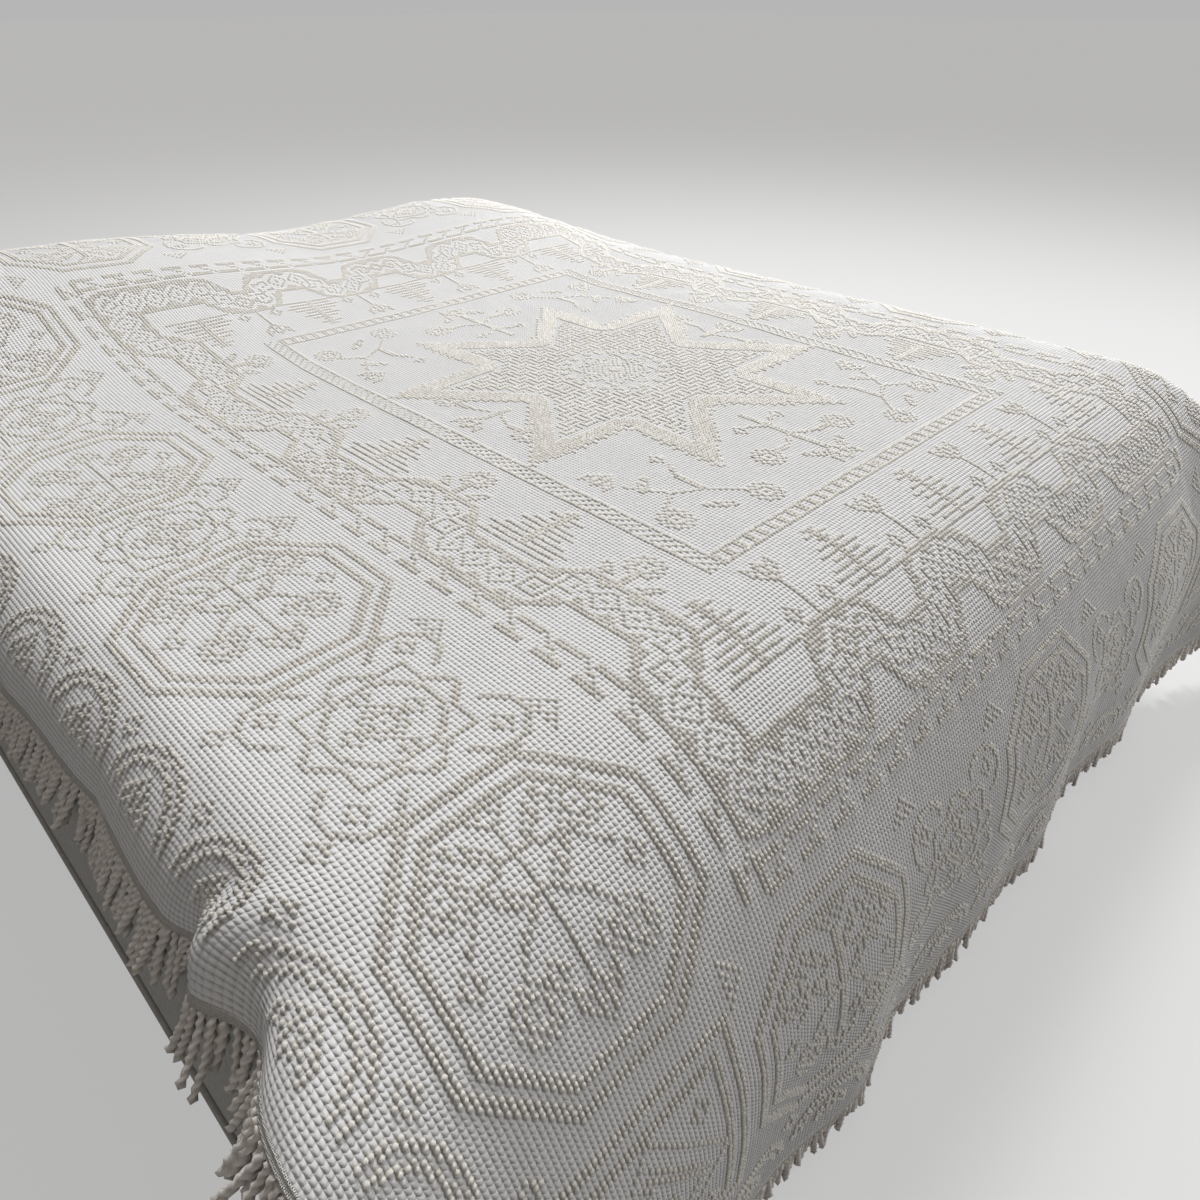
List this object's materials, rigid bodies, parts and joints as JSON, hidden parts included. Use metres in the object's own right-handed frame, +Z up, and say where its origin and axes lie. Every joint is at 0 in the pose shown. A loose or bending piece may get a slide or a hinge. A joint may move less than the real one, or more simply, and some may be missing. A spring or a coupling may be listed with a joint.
{
  "type": "candlewick bedspread on a bed",
  "caption": "Tufted candlewick bedspread with a twisted bullion fringe, draped over pillows, a mattress and a plain divan bed so that it hangs to the floor at the foot.",
  "frame": {"origin": "on the floor under the middle of the whole: the centre of the base of its bounding box", "axes": "+Z up, +Y towards the head of the bed, +X towards the side of the bed where the spread hangs lower"},
  "size_m": [2.0696, 2.2614, 0.8147],
  "materials": {
    "candlewick": "matt woven cotton with soft raised tufts",
    "bullion_cord": "matt twisted cotton cord",
    "ticking": "matt woven ticking",
    "pillowcase": "matt plain cotton",
    "upholstery": "matt plain upholstery cloth",
    "foot_wood": "satin varnished wood"
  },
  "bodies": {
    "root": {"bedspread": "candlewick", "fringe": "bullion_cord", "mattress": "ticking", "pillow_near": "pillowcase", "pillow_far": "pillowcase", "bed_base": "upholstery", "foot_1": "foot_wood", "foot_2": "foot_wood", "foot_3": "foot_wood", "foot_4": "foot_wood"}
  },
  "joints": []
}
